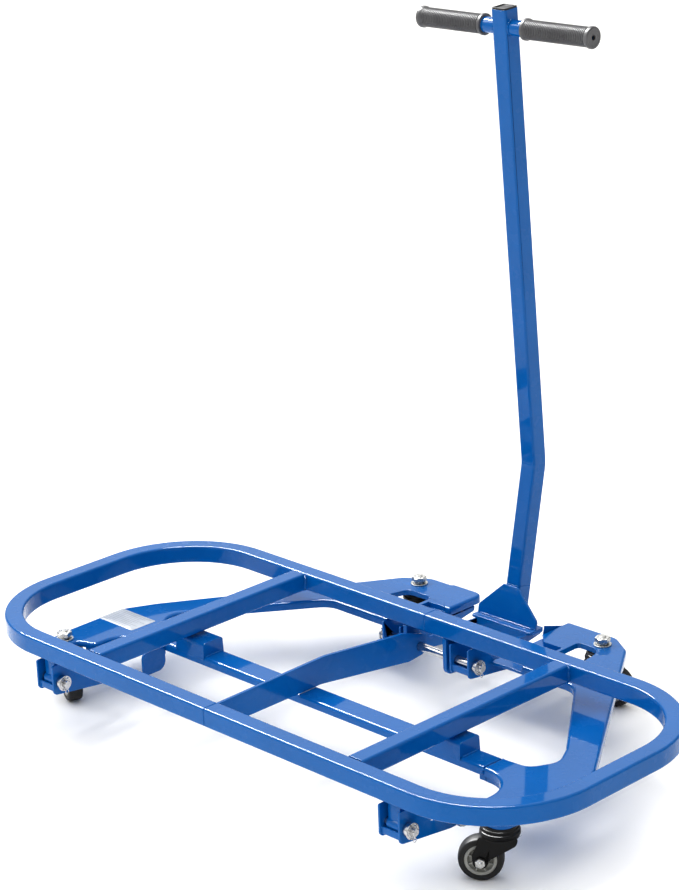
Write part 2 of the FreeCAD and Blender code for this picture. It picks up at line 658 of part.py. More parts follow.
def crossbar_centre():
    _, _, _, arc_end, top, _ = handle_path()
    along = arc_end - top
    along.normalize()
    return top + along * CROSSBAR_DROP


def crossbar():
    centre = crossbar_centre()
    half = V(CROSSBAR_LENGTH / 2, 0, 0)
    return ring(CROSSBAR_R, CROSSBAR_R - TUBE_WALL, centre - half, centre + half)


def grip():
    """Right-hand grip: a sleeve with a collar at each end and a closed tip with a vent hole."""
    centre = crossbar_centre()
    tip = CROSSBAR_LENGTH / 2 + 4
    start = tip - GRIP_LENGTH
    collar = GRIP_R + 1.6
    profile = [(CROSSBAR_R, start), (collar, start), (collar, start + 5), (GRIP_R, start + 7), (GRIP_R, tip - 8),
               (collar, tip - 6), (collar, tip - 1.5), (collar - 1.5, tip), (4, tip), (4, tip - 4),
               (CROSSBAR_R, tip - 4)]
    return revolved(profile, V(0, centre.y, centre.z), V(1, 0, 0), V(0, 0, 1))


def handle_cap():
    _, _, _, arc_end, top, _ = handle_path()
    direction = top - arc_end
    direction.normalize()
    inner = TUBE - 2 * TUBE_WALL
    plug = Part.Face(tilted_section(top, direction, inner, TUBE_EDGE - TUBE_WALL)).extrude(direction * -12)
    lid = Part.Face(tilted_section(top, direction, TUBE - 1, TUBE_EDGE)).extrude(direction * 3)
    return lid.fuse(plug).removeSplitter()


# ---- casters, drawn at the floor with the wheel trailing along +X ----
CROWN_TOP = CASTER_HEIGHT - 16.0
RACE_TOP = CROWN_TOP + 2.2
CUP_INSIDE = RACE_TOP + 2 * BALL_R + 0.1


def caster_head():
    """Ridged upper race cup with a cavity for the balls."""
    profile = [(STUD_R, CUP_INSIDE), (23, CUP_INSIDE), (23, CROWN_TOP + 1.2), (28.5, CROWN_TOP + 1.2),
               (28.5, CASTER_HEIGHT - 9), (26.5, CASTER_HEIGHT - 8), (26.5, CASTER_HEIGHT - 4.5),
               (24.5, CASTER_HEIGHT - 3.5), (24.5, CASTER_HEIGHT), (STUD_R, CASTER_HEIGHT)]
    return z_turned(profile, 0, 0)


def caster_stud():
    """Threaded stud that is also the king pin, with its head under the fork's crown."""
    head_top = CROWN_TOP - 3.3
    profile = [(0, head_top - 3), (8, head_top - 3), (9, head_top - 2), (9, head_top), (STUD_R, head_top),
               (STUD_R, BASE_TOP + 15), (STUD_R - 1, BASE_TOP + 16), (0, BASE_TOP + 16)]
    return z_turned(profile, 0, 0)


def caster_balls():
    balls = []
    for index in range(BALL_COUNT):
        angle = 2 * math.pi * index / BALL_COUNT
        centre = V(BALL_CIRCLE * math.cos(angle), BALL_CIRCLE * math.sin(angle), RACE_TOP + BALL_R + 0.05)
        balls.append(Part.makeSphere(BALL_R, centre))
    return Part.makeCompound(balls)


def caster_fork():
    """Pressed fork: crown with the lower race on it, and two legs that sweep to the axle."""
    leg_inside, leg_sheet = 14.5, 2.5
    crown = 3.0
    half_width = leg_inside + leg_sheet
    leg = [
        (-26, CROWN_TOP, 4),
        (-23, CROWN_TOP - 12, 12),
        (TRAIL - 11, WHEEL_R + 2, 12),
        (TRAIL - 10, WHEEL_R - 10, 9),
        (TRAIL + 10, WHEEL_R - 10, 9),
        (TRAIL + 12, WHEEL_R + 10, 16),
        (31, CROWN_TOP - 12, 10),
        (30, CROWN_TOP, 4),
    ]
    parts = [prism(leg, in_xz(y), V(0, leg_sheet, 0)) for y in (-half_width, leg_inside)]
    parts.append(rod(27, V(0, 0, CROWN_TOP - crown), V(0, 0, CROWN_TOP)))
    parts.append(rod(21.5, V(0, 0, CROWN_TOP), V(0, 0, RACE_TOP)))
    fork = parts[0].fuse(parts[1:])
    fork = fork.cut(rod(STUD_R + 0.1, V(0, 0, 0), V(0, 0, CASTER_HEIGHT)))
    return fork.cut(rod(AXLE_R, V(TRAIL, -40, WHEEL_R), V(TRAIL, 40, WHEEL_R))).removeSplitter()


def axle_bolt():
    half = 17.0
    shank = rod(AXLE_R, V(TRAIL, -half - 1, WHEEL_R), V(TRAIL, half + 9, WHEEL_R))
    head = hexagon(13.0, V(TRAIL, -half - 5.5, WHEEL_R), V(0, 1, 0), 5.5)
    return shank.fuse(head).removeSplitter()


def axle_nut():
    return hexagon(13.0, V(TRAIL, 17.0, WHEEL_R), V(0, 1, 0), 7.0, AXLE_R)


def wheel_profile_solid(profile):
    return revolved(profile, V(TRAIL, 0, WHEEL_R), V(0, 1, 0), V(0, 0, 1))


def caster_tyre():
    half, inner = WHEEL_WIDTH / 2, RIM_R
    shoulder = 3.0
    profile = [(inner, -half), (WHEEL_R - shoulder, -half), (WHEEL_R - 0.8, -half + shoulder), (WHEEL_R, 0),
               (WHEEL_R - 0.8, half - shoulder), (WHEEL_R - shoulder, half), (inner, half)]
    return wheel_profile_solid(profile)


def caster_hub():
    bore, lip, boss = AXLE_R + RUNNING_GAP, RIM_R - 5.0, 9.0
    half, face = WHEEL_WIDTH / 2, WHEEL_WIDTH / 2 - 5
    ends = half + 2
    profile = [(bore, -ends), (boss, -ends), (boss, -face), (lip, -face), (lip, -half), (RIM_R, -half),
               (RIM_R, half), (lip, half), (lip, face), (boss, face), (boss, ends), (bore, ends)]
    return wheel_profile_solid(profile)


def at_caster(shape, name):
    """Copy of a caster shape at its own corner and heading."""
    x, y, heading = CASTERS[name]
    placed = shape.copy()
    placed.Placement = FreeCAD.Placement(V(x, y, 0), FreeCAD.Rotation(V(0, 0, 1), heading)).multiply(placed.Placement)
    return placed


def at_every_caster(shape):
    return [at_caster(shape, name) for name in CASTERS]


# ---- assembly ----
def nodes():
    """Every node's name with its list of solids."""
    side = LEVER_WIDTH / 2
    rear_end = REAR_LEVER_X + side
    split_at = PIN_TAIL - 3.5
    right = {
        "platform_hoop": platform_hoop(),
        "cross_bar": cross_bar(),
        "rear_lever": lever(REAR_LEVER_X, REAR_PIN_Y, REAR_SHAFT_R, tail=True),
        "front_lever": lever(FRONT_LEVER_X, FRONT_PIN_Y, FRONT_PIN_R),
        "grip": grip(),
    }
    made = {}
    for name, shape in right.items():
        made[name + "_right"] = [shape]
        made[name + "_left"] = [mirrored(shape)]
    made["base_arm_right"] = [base_arm("right")]
    made["base_arm_left"] = [mirrored(base_arm("left"))]
    for name, x in (("left", -FRONT_LEVER_X), ("right", FRONT_LEVER_X)):
        made["clevis_pin_" + name] = [clevis_pin(x)]
        made["clevis_washers_" + name] = washer_pair(x + side, FRONT_PIN_R, FRONT_PIN_Y)
        made["clevis_split_pin_" + name] = [split_pin(x + side + split_at, FRONT_PIN_Y, PIN_Z)]

    pairs = {
        "platform_lugs_front": [front_lug()],
        "platform_lugs_rear": [rear_lug()],
        "rest_saddles": [rest_saddle()],
        "front_pivot_lugs": [front_pivot_lug()],
        "hanging_plates": [corner_skirt()],
        "front_pivot_pins": [front_pivot_pin()],
        "rear_hinge_plates": [rear_hinge_plate()],
        "rear_shaft_washers": washer_pair(rear_end, REAR_SHAFT_R, REAR_PIN_Y),
        "rear_split_pins": [split_pin(rear_end + split_at, REAR_PIN_Y, PIN_Z)],
    }
    for name, shapes in pairs.items():
        made[name] = shapes + [mirrored(shape) for shape in shapes]

    made["centre_brace"] = [centre_brace()]
    made["cross_channel"] = [cross_channel()]
    made["hanging_plates"].append(left_hanger())
    made["rear_pivot_shaft"] = [rear_pivot_shaft()]
    made["blank_label"] = [blank_label()]
    made["rear_shaft"] = [rear_shaft()]
    made["foot_plate"] = [foot_plate()]
    made["handle_gusset"] = [handle_gusset()]
    made["handle_stub"] = [handle_stub()]
    made["stub_spigot"] = [stub_spigot()]
    made["handle_tube"] = [handle_tube()]
    made["handle_cap"] = [handle_cap()]
    made["grip_crossbar"] = [crossbar()]

    flat_top = BASE_TOP + 2.5
    spring_top = flat_top + 3.0
    flat_washer = ring(14.5, STUD_R, V(0, 0, BASE_TOP), V(0, 0, flat_top))
    spring_washer = ring(10.5, STUD_R, V(0, 0, flat_top), V(0, 0, spring_top))
    made["caster_heads"] = at_every_caster(caster_head())
    made["caster_studs"] = at_every_caster(caster_stud())
    made["caster_washers"] = at_every_caster(flat_washer) + at_every_caster(spring_washer)
    made["caster_nuts"] = at_every_caster(hexagon(22.0, V(0, 0, spring_top), V(0, 0, 1), 8.5, STUD_R))
    made["caster_balls"] = [ball for balls in at_every_caster(caster_balls()) for ball in balls.Solids]
    for name in CASTERS:
        made["fork_" + name] = [at_caster(caster_fork(), name)]
        made["axle_" + name] = [at_caster(axle_bolt(), name), at_caster(axle_nut(), name)]
        made["tyre_" + name] = [at_caster(caster_tyre(), name)]
        made["hub_" + name] = [at_caster(caster_hub(), name)]
    return made


def main():
    os.makedirs("parts", exist_ok=True)
    made = nodes()
    # The platform's front and the back of the handle's bend are the furthest points along Y.
    front, rear = -PLATFORM_WIDTH / 2, made["handle_tube"][0].optimalBoundingBox().YMax
    centring = V(0, -(front + rear) / 2, 0)
    for name, shapes in made.items():
        for shape in shapes:
            shape.translate(centring)
        body = shapes[0] if len(shapes) == 1 else Part.makeCompound(shapes)
        body.exportStep(os.path.join("parts", name + ".step"))
    print(len(made), "nodes, centred by", round(centring.y, 3), "along Y")


main()
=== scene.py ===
import bpy
import bmesh
import json
import math
from mathutils import Matrix, Vector


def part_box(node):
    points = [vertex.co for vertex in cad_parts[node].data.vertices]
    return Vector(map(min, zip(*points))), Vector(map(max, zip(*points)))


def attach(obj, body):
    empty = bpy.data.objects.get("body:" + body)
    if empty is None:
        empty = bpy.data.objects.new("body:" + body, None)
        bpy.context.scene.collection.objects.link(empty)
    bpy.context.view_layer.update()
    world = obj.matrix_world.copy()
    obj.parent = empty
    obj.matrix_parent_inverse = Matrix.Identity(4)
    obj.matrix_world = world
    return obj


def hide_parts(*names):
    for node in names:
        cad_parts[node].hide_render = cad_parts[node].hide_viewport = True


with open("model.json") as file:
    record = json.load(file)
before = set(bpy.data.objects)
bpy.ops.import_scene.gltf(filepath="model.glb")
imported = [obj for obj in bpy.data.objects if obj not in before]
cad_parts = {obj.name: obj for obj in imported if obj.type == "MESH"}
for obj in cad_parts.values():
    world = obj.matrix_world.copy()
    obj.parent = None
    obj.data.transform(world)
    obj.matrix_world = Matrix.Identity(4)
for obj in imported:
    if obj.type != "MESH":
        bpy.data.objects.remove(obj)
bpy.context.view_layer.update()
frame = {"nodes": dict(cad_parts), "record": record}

# Lifting platform cart. The CAD gives every place and size: sheet, tube and forged pieces are its
# solids with their edges rounded, and the grips, wheels, threads, pins, welds and label are built here.

MM = 0.001
UP = Vector((0, 0, 1))
X_AXIS = Vector((1, 0, 0))
RECORD = frame["record"]
BODY_OF = {node: body for body, members in RECORD["behaviour"]["bodies"].items() for node in members}
SLOT_OF = {part["node"]: part["material_slot"] for part in RECORD["subparts"]}
CORNERS = ("front_left", "front_right", "rear_left", "rear_right")
SIDES = ("left", "right")
SIGNED_SIDES = ((-1, "left"), (1, "right"))
NEAR_AXIS = 0.4                 # mm; a solid turned piece stops this far from its axis


# ---- materials ----
class Shader:
    """A Principled material and the few node recipes that this cart's surfaces use."""

    def __init__(self, name, **values):
        self.material = bpy.data.materials.new(name)
        self.material.use_nodes = True
        self.tree = self.material.node_tree
        self.surface = self.tree.nodes["Principled BSDF"]
        for key, value in values.items():
            self.surface.inputs[key.replace("_", " ")].default_value = value
        self.place = self.node("ShaderNodeTexCoord").outputs["Object"]
        self.height = None

    def node(self, kind, **settings):
        made = self.tree.nodes.new(kind)
        for key, value in settings.items():
            setattr(made, key, value)
        return made

    def link(self, start, end):
        self.tree.links.new(start, end)

    def stretched(self, scale):
        """Object coordinates scaled by a different amount along each axis."""
        mapping = self.node("ShaderNodeMapping")
        mapping.inputs["Scale"].default_value = scale
        self.link(self.place, mapping.inputs["Vector"])
        return mapping.outputs["Vector"]

    def noise(self, scale, detail=2.0, roughness=0.5, place=None):
        made = self.node("ShaderNodeTexNoise")
        made.inputs["Scale"].default_value = scale
        made.inputs["Detail"].default_value = detail
        made.inputs["Roughness"].default_value = roughness
        self.link(place or self.place, made.inputs["Vector"])
        return made.outputs["Fac"]

    def ranged(self, value, low, high, start=0.3, end=0.7):
        made = self.node("ShaderNodeMapRange")
        made.inputs["From Min"].default_value = start
        made.inputs["From Max"].default_value = end
        made.inputs["To Min"].default_value = low
        made.inputs["To Max"].default_value = high
        self.link(value, made.inputs["Value"])
        return made.outputs["Result"]

    def mix(self, factor, first, second):
        made = self.node("ShaderNodeMix", data_type="RGBA")
        for socket, colour in (("A", first), ("B", second)):
            target = [s for s in made.inputs if s.name == socket and s.type == "RGBA"][0]
            if isinstance(colour, tuple):
                target.default_value = (*colour, 1.0)
            else:
                self.link(colour, target)
        self.link(factor, made.inputs["Factor"])
        return [s for s in made.outputs if s.type == "RGBA"][0]

    def colour(self, value):
        self.link(value, self.surface.inputs["Base Color"])

    def rough(self, value):
        self.link(value, self.surface.inputs["Roughness"])

    def bump(self, value, strength, distance):
        """Adds one layer of relief on top of those already there."""
        made = self.node("ShaderNodeBump")
        made.inputs["Strength"].default_value = strength
        made.inputs["Distance"].default_value = distance
        self.link(value, made.inputs["Height"])
        if self.height:
            self.link(self.height, made.inputs["Normal"])
        self.height = made.outputs["Normal"]
        self.link(self.height, self.surface.inputs["Normal"])


def blue_powder_coat():
    """Gloss royal blue coat: orange peel, faint cloudiness and slightly duller patches."""
    s = Shader("blue_powder_coat", Metallic=0.0, Specular_IOR_Level=0.04,
               Coat_Weight=0.75, Coat_Roughness=0.035, Coat_IOR=1.40)
    cloud = s.ranged(s.noise(9.0, 3.0), 0.0, 1.0)
    s.colour(s.mix(cloud, (0.0003, 0.112, 0.375), (0.0006, 0.126, 0.42)))
    s.rough(s.ranged(s.noise(38.0, 4.0), 0.22, 0.30))
    s.bump(s.noise(110.0, 1.0), 0.05, 0.00006)
    return s.material


def zinc():
    """Bright zinc plate with a soft bloom and fine turning marks."""
    s = Shader("zinc_plate", Metallic=1.0)
    bloom = s.ranged(s.noise(160.0, 4.0), 0.0, 1.0)
    s.colour(s.mix(bloom, (0.42, 0.42, 0.41), (0.58, 0.58, 0.56)))
    s.rough(s.ranged(s.noise(300.0, 3.0), 0.20, 0.38))
    s.bump(s.noise(900.0, 2.0, place=s.stretched((1.0, 1.0, 14.0))), 0.12, 0.00006)
    return s.material


def bright_steel():
    """Bright shaft steel with very fine rings around it and slight staining."""
    s = Shader("bright_steel", Metallic=1.0)
    stain = s.ranged(s.noise(60.0, 4.0), 0.0, 1.0)
    s.colour(s.mix(stain, (0.50, 0.50, 0.51), (0.66, 0.66, 0.66)))
    s.rough(s.ranged(s.noise(60.0, 3.0), 0.20, 0.26))
    s.bump(s.noise(700.0, 2.0, place=s.stretched((12.0, 1.0, 1.0))), 0.05, 0.000006)
    return s.material


def caster_black():
    """Black stove enamel over pressed steel."""
    s = Shader("caster_black", Specular_IOR_Level=0.08, Coat_Weight=0.25, Coat_Roughness=0.10)
    s.colour(s.mix(s.ranged(s.noise(30.0, 3.0), 0.0, 1.0), (0.0045, 0.0045, 0.0048), (0.009, 0.009, 0.0095)))
    s.rough(s.ranged(s.noise(90.0, 3.0), 0.28, 0.45))
    s.bump(s.noise(650.0, 2.0), 0.14, 0.00010)
    return s.material


def rubber(name, dark, light, roughness, grain):
    """Moulded rubber with a fine grain and a slight dusty bloom."""
    s = Shader(name, Specular_IOR_Level=0.42)
    s.colour(s.mix(s.ranged(s.noise(45.0, 5.0, 0.6), 0.0, 1.0), dark, light))
    s.rough(s.ranged(s.noise(70.0, 4.0), roughness - 0.08, roughness + 0.10))
    s.bump(s.noise(grain, 3.0), 0.22, 0.00010)
    return s.material


def moulded_plastic(name, dark, light, roughness):
    """Injection-moulded plastic with a spark-eroded grain."""
    s = Shader(name, Specular_IOR_Level=0.5)
    s.colour(s.mix(s.ranged(s.noise(25.0, 3.0), 0.0, 1.0), dark, light))
    s.rough(s.ranged(s.noise(120.0, 3.0), roughness - 0.06, roughness + 0.08))
    s.bump(s.noise(1500.0, 2.0), 0.18, 0.00005)
    return s.material


def label_film():
    """Silvery film, slightly uneven, with a soft gloss."""
    s = Shader("label_film", Coat_Weight=0.4, Coat_Roughness=0.2)
    s.colour(s.mix(s.ranged(s.noise(70.0, 3.0), 0.0, 1.0), (0.38, 0.42, 0.48), (0.46, 0.50, 0.56)))
    s.rough(s.ranged(s.noise(140.0, 2.0), 0.30, 0.42))
    s.bump(s.noise(120.0, 2.0), 0.08, 0.0002)
    return s.material


def label_ink():
    """Faint grey print of the plain ruled lines."""
    s = Shader("label_ink")
    s.colour(s.mix(s.ranged(s.noise(400.0, 2.0), 0.0, 1.0), (0.10, 0.12, 0.15), (0.16, 0.18, 0.21)))
    s.rough(s.ranged(s.noise(200.0, 2.0), 0.40, 0.50))
    return s.material


MATERIALS = {
    "blue_frame": blue_powder_coat(),
    "zinc_fastener": zinc(),
    "bright_steel": bright_steel(),
    "caster_steel": caster_black(),
    "grip_rubber": rubber("grip_rubber", (0.090, 0.090, 0.094), (0.130, 0.130, 0.135), 0.34, 1400.0),
    "wheel_rubber": rubber("wheel_rubber", (0.0075, 0.0072, 0.0070), (0.016, 0.0155, 0.015), 0.52, 1100.0),
    "hub_plastic": moulded_plastic("hub_plastic", (0.26, 0.26, 0.24), (0.34, 0.34, 0.31), 0.42),
    "cap_plastic": moulded_plastic("cap_plastic", (0.008, 0.008, 0.009), (0.016, 0.016, 0.017), 0.45),
    "label_film": label_film(),
}


# ---- building blocks ----
def from_bmesh(name, bm, body, slot, smooth=32.0):
    """Makes a bmesh a piece: smooth shading with sharp creases, body, slot and material."""
    bmesh.ops.recalc_face_normals(bm, faces=bm.faces)
    mesh = bpy.data.meshes.new(name)
    bm.to_mesh(mesh)
    bm.free()
    piece = bpy.data.objects.new(name, mesh)
    bpy.context.scene.collection.objects.link(piece)
    mesh.materials.append(MATERIALS[slot])
    mesh.shade_smooth()
    mesh.set_sharp_from_angle(angle=math.radians(smooth))
    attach(piece, body)
    return piece


def loft(rings, closed=True):
    """Bmesh skin over rings of equally many points. It closes on itself, or else has a cap at each end."""
    bm = bmesh.new()
    rows = [[bm.verts.new(point) for point in ring] for ring in rings]
    count = len(rows[0])
    pairs = list(zip(rows, rows[1:]))
    if closed:
        pairs.append((rows[-1], rows[0]))
    for first, second in pairs:
        for k in range(count):
            nxt = (k + 1) % count
            bm.faces.new((first[k], first[nxt], second[nxt], second[k]))
    if not closed:
        bm.faces.new(rows[0])
        bm.faces.new(rows[-1])
    return bm


def across(axis):
    """Two unit vectors square to an axis."""
    axis = Vector(axis).normalized()
    side = axis.orthogonal().normalized()
    return side, axis.cross(side)


def lathed(profile, centre, axis, steps=72, shape=None):
    """Closed (along, radius) profile turned about an axis. shape(angle, along, radius) may change
    a radius."""
    axis = Vector(axis).normalized()
    side, up = across(axis)
    rings = []
    for k in range(steps):
        angle = 2 * math.pi * k / steps
        radial = side * math.cos(angle) + up * math.sin(angle)
        rings.append([centre + axis * a + radial * (shape(angle, a, r) if shape else r) for a, r in profile])
    return loft(rings, closed=True)


def mirrored(half):
    """(along, radius) profile from its first half, the other half being its mirror image."""
    return half + [(-a, r) for a, r in reversed(half)]


def rounded_rectangle(width, depth, radius, steps):
    """Outline of a rectangle around the origin, with arcs at its corners."""
    points = []
    for turn, (a, b) in enumerate(((1, 1), (-1, 1), (-1, -1), (1, -1))):
        for k in range(steps + 1):
            angle = math.pi / 2 * (turn + k / steps)
            points.append((a * (width / 2 - radius) + radius * math.cos(angle),
                           b * (depth / 2 - radius) + radius * math.sin(angle)))
    return points


def rounded_profile(points, radius, steps):
    """Closed outline of (a, b) points with each corner replaced by a short arc-like curve."""
    result = []
    count = len(points)
    for k in range(count):
        here = Vector(points[k])
        before = Vector(points[k - 1]) - here
        after = Vector(points[(k + 1) % count]) - here
        cut = min(radius, before.length * 0.45, after.length * 0.45)
        start, end = here + before.normalized() * cut, here + after.normalized() * cut
        for j in range(steps + 1):
            t = j / steps
            result.append(tuple(start * (1 - t) ** 2 + here * 2 * t * (1 - t) + end * t * t))
    return result


def joined(parts):
    """One bmesh made of several, which are used up."""
    whole = bmesh.new()
    for part in parts:
        mesh = bpy.data.meshes.new("part")
        part.to_mesh(mesh)
        part.free()
        whole.from_mesh(mesh)
        bpy.data.meshes.remove(mesh)
    return whole


def sharp_edges(bm, angle):
    return [e for e in bm.edges if len(e.link_faces) == 2 and e.calc_face_angle(0.0) > math.radians(angle)]


def cad_copy(node, merged):
    """Bmesh of a CAD node, with its flat faces merged if they have no holes in them."""
    bm = bmesh.new()
    bm.from_mesh(frame["nodes"][node].data)
    bmesh.ops.remove_doubles(bm, verts=bm.verts, dist=2e-6)
    if merged:
        bmesh.ops.dissolve_limit(bm, angle_limit=math.radians(0.6), verts=bm.verts, edges=bm.edges)
    return bm


def softened(node, width, angle=34.0, merged=True, wanted=lambda edge: True):
    """Piece that stands for a CAD node: its solid with its sharp edges rounded."""
    bm = cad_copy(node, merged)
    edges = [e for e in sharp_edges(bm, angle) if wanted(e)]
    bmesh.ops.bevel(bm, geom=edges, offset=width * MM, offset_type="OFFSET", segments=2,
                    profile=0.5, affect="EDGES", clamp_overlap=False, loop_slide=True)
    piece = from_bmesh(node + "_finished", bm, BODY_OF[node], SLOT_OF[node], 40.0)
    weighted = piece.modifiers.new("weighted_normals", "WEIGHTED_NORMAL")
    weighted.keep_sharp = True
    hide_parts(node)


def made(name, parts, node, smooth=32.0):
    """One piece from several bmeshes, standing for a CAD node."""
    piece = from_bmesh(name, joined(parts), BODY_OF[node], SLOT_OF[node], smooth)
    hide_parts(node)


# ---- places on the cart, from the CAD's own boxes ----
def centre_of(node):
    low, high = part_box(node)
    return (low + high) / 2


MIDDLE_Y = centre_of("platform_hoop_left").y


def at(x, y, z):
    """Point on the cart from millimetres along it, across it from its middle, and up."""
    return Vector((x * MM, MIDDLE_Y + y * MM, z * MM))


def span(node):
    """Lowest and highest corner of a CAD node, in the millimetres that at() takes."""
    return [Vector((corner.x, corner.y - MIDDLE_Y, corner.z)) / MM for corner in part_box(node)]


def scaled(profile):
    """Profile in metres from one in millimetres."""
    return [(a * MM, r * MM) for a, r in profile]


def caster_at(corner):
    """Point on the floor under a caster's stud: the middle of the head that is nearest to its wheel."""
    heads = frame["nodes"]["caster_heads"].data.vertices
    wheel = centre_of("tyre_" + corner)
    near = [v.co for v in heads if (v.co.x > 0) == (wheel.x > 0) and (v.co.y > 0) == (wheel.y > 0)]
    return Vector(((min(c.x for c in near) + max(c.x for c in near)) / 2,
                   (min(c.y for c in near) + max(c.y for c in near)) / 2, 0.0))


CASTER_AT = {corner: caster_at(corner) for corner in CORNERS}
BASE_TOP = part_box("caster_washers")[0].z / MM
PIN_Z = centre_of("rear_shaft").z / MM
REAR_Y = (centre_of("rear_shaft").y - MIDDLE_Y) / MM
FRONT_Y = (centre_of("clevis_pin_left").y - MIDDLE_Y) / MM
HOOP_LOW, HOOP_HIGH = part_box("platform_hoop_left")
HOOP_TUBE = HOOP_HIGH.z - HOOP_LOW.z


# ---- CAD nodes that keep their shape ----
def on_outer_skin(edge):
    """True for the outer edges of the open tube ends, where the two hoop halves meet."""
    middle = (HOOP_LOW + HOOP_HIGH) / 2
    tube_axis_y = (HOOP_HIGH.y - HOOP_LOW.y - HOOP_TUBE) / 2
    skin = HOOP_TUBE / 2 - 1.3 * MM
    return all(max(abs(abs(v.co.y - middle.y) - tube_axis_y), abs(v.co.z - middle.z)) > skin
               for v in edge.verts)


for name, node in frame["nodes"].items():
    node.data.materials.clear()
    node.data.materials.append(MATERIALS[SLOT_OF[name]])

for side in SIDES:
    softened("base_arm_" + side, 0.8, merged=False)
    softened("front_lever_" + side, 1.0)
    softened("rear_lever_" + side, 1.0)
    softened("platform_hoop_" + side, 1.7, angle=50.0, wanted=on_outer_skin)
    softened("cross_bar_" + side, 0.9, angle=50.0)
for single in ("cross_channel", "centre_brace", "handle_gusset", "foot_plate", "rest_saddles",
               "front_pivot_lugs", "rear_hinge_plates", "platform_lugs_front", "platform_lugs_rear",
               "hanging_plates"):
    softened(single, 1.0)
for single in ("handle_tube", "handle_stub", "grip_crossbar"):
    softened(single, 0.7, angle=50.0)
for corner in CORNERS:
    softened("fork_" + corner, 0.5, merged=False)


# ---- nuts, bolts, washers and pins ----
COLLAR = 8.0                    # mm along a pin
SPLIT_PIN_AT = 13.5             # mm along a pin, from the lever's face


def hex_radius(angle, flats):
    """Distance from a hexagon's centre to its side at an angle."""
    sector = math.pi / 3
    return flats / 2 / math.cos(angle % sector - sector / 2)


def hex_bm(centre, axis, flats, height, bore, domed=0.0):
    """Chamfered hexagon from centre along axis, with a bore or a closed, slightly domed end."""
    flats, height, bore, domed = flats * MM, height * MM, bore * MM, domed * MM
    corner = flats / math.sqrt(3)
    cut = (corner - flats / 2) * 0.62
    profile = [(0, bore), (0, flats * 0.47), (cut, corner), (height - cut, corner), (height, flats * 0.47),
               (height, flats * 0.40), (height + domed, flats * 0.30), (height + domed, bore)]
    return lathed(profile, centre, axis, 96, lambda angle, a, r: min(r, hex_radius(angle, flats)))


def threaded_bm(centre, axis, radius, start, end, pitch):
    """Rod with a screw thread between start and end along the axis, and a chamfered tip."""
    radius, start, end, pitch = radius * MM, start * MM, end * MM, pitch * MM
    depth = pitch * 0.42
    core = NEAR_AXIS * MM
    count = int((end - start) / pitch * 8)
    profile = [(start, core)] + [(start + (end - start) * k / count, radius) for k in range(count + 1)]
    profile += [(end + depth, radius - 2 * depth), (end + depth, core)]

    def thread(angle, a, r):
        if r < radius or a == start:
            return r
        phase = (a / pitch + angle / (2 * math.pi)) % 1.0
        tip = min(1.0, (end - a) / pitch)
        return r - depth * (1 - abs(2 * phase - 1)) - depth * (1 - tip) * 0.6

    return lathed(profile, centre, axis, 40, thread)


def disc_bm(centre, axis, outer, bore, start, end, edge, groove):
    """Washer with rounded rims and a shallow ring turned in its outer face."""
    middle = (outer + bore) / 2
    points = [(start, bore), (start, outer), (end, outer), (end, middle + 1.0), (end - groove, middle + 0.6),
              (end - groove, middle - 0.6), (end, middle - 1.0), (end, bore)]
    return lathed(rounded_profile(scaled(points), edge * MM, 3), centre, axis, 72)


def spring_washer_bm(centre, outer, bore, low, high):
    """Split lock washer: one flat turn whose ends stand apart at the split."""
    rings = []
    steps = 56
    lift = (high - low) * 0.28
    section = [(bore, low + 0.8 * lift), (outer, low + 0.8 * lift), (outer, high - 0.8 * lift),
               (bore, high - 0.8 * lift)]
    for k in range(steps + 1):
        angle = math.radians(9 + 342 * k / steps)
        shift = lift * (k / steps - 0.5)
        radial = Vector((math.cos(angle), math.sin(angle), 0))
        rings.append([centre + radial * (r * MM) + UP * ((z + shift) * MM) for r, z in section])
    return loft(rings, closed=False)


def swept(points, radius, square_to):
    """Round wire along an open line. radius(t) is its radius from t = 0 to 1, and square_to(ahead)
    gives two unit vectors square to the line."""
    rings = []
    sides = 10
    last = len(points) - 1
    for k, point in enumerate(points):
        side, up = square_to(points[min(k + 1, last)] - points[max(k - 1, 0)])
        rings.append([point + (side * math.cos(t) + up * math.sin(t)) * radius(k / last)
                      for t in (2 * math.pi * j / sides for j in range(sides))])
    return loft(rings, closed=False)


def split_pin_bm(centre):
    """Split pin: an eye below, two legs up through the pin, their ends bent apart."""
    wire, half, eye, eye_z = 0.66, 0.65, 2.9, -12.5
    leg = [(4.4, 9.6), (3.0, 9.4), (1.6, 8.6), (0.8, 7.6), (half, 6), (half, 0), (half, -6), (half, -9.2)]
    path = list(leg)
    for k in range(17):
        angle = math.radians(75 - 330 * k / 16)
        path.append((eye * math.cos(angle), eye_z + eye * math.sin(angle)))
    path += [(-y * 0.9, z) for y, z in reversed(leg)]
    return swept([centre + Vector((0, y * MM, z * MM)) for y, z in path], lambda t: wire * MM,
                 lambda ahead: (X_AXIS, X_AXIS.cross(ahead.normalized())))


def collar_and_washer(face, outward, bore):
    """Thick collar with a thin washer on it, along a pin from a face outwards."""
    return [disc_bm(face, outward, 10.9, bore, 0.1, 7.9, 0.9, 0.5),
            disc_bm(face + outward * COLLAR * MM, outward, 12.4, bore, 0.1, 2.4, 0.5, 0.3)]


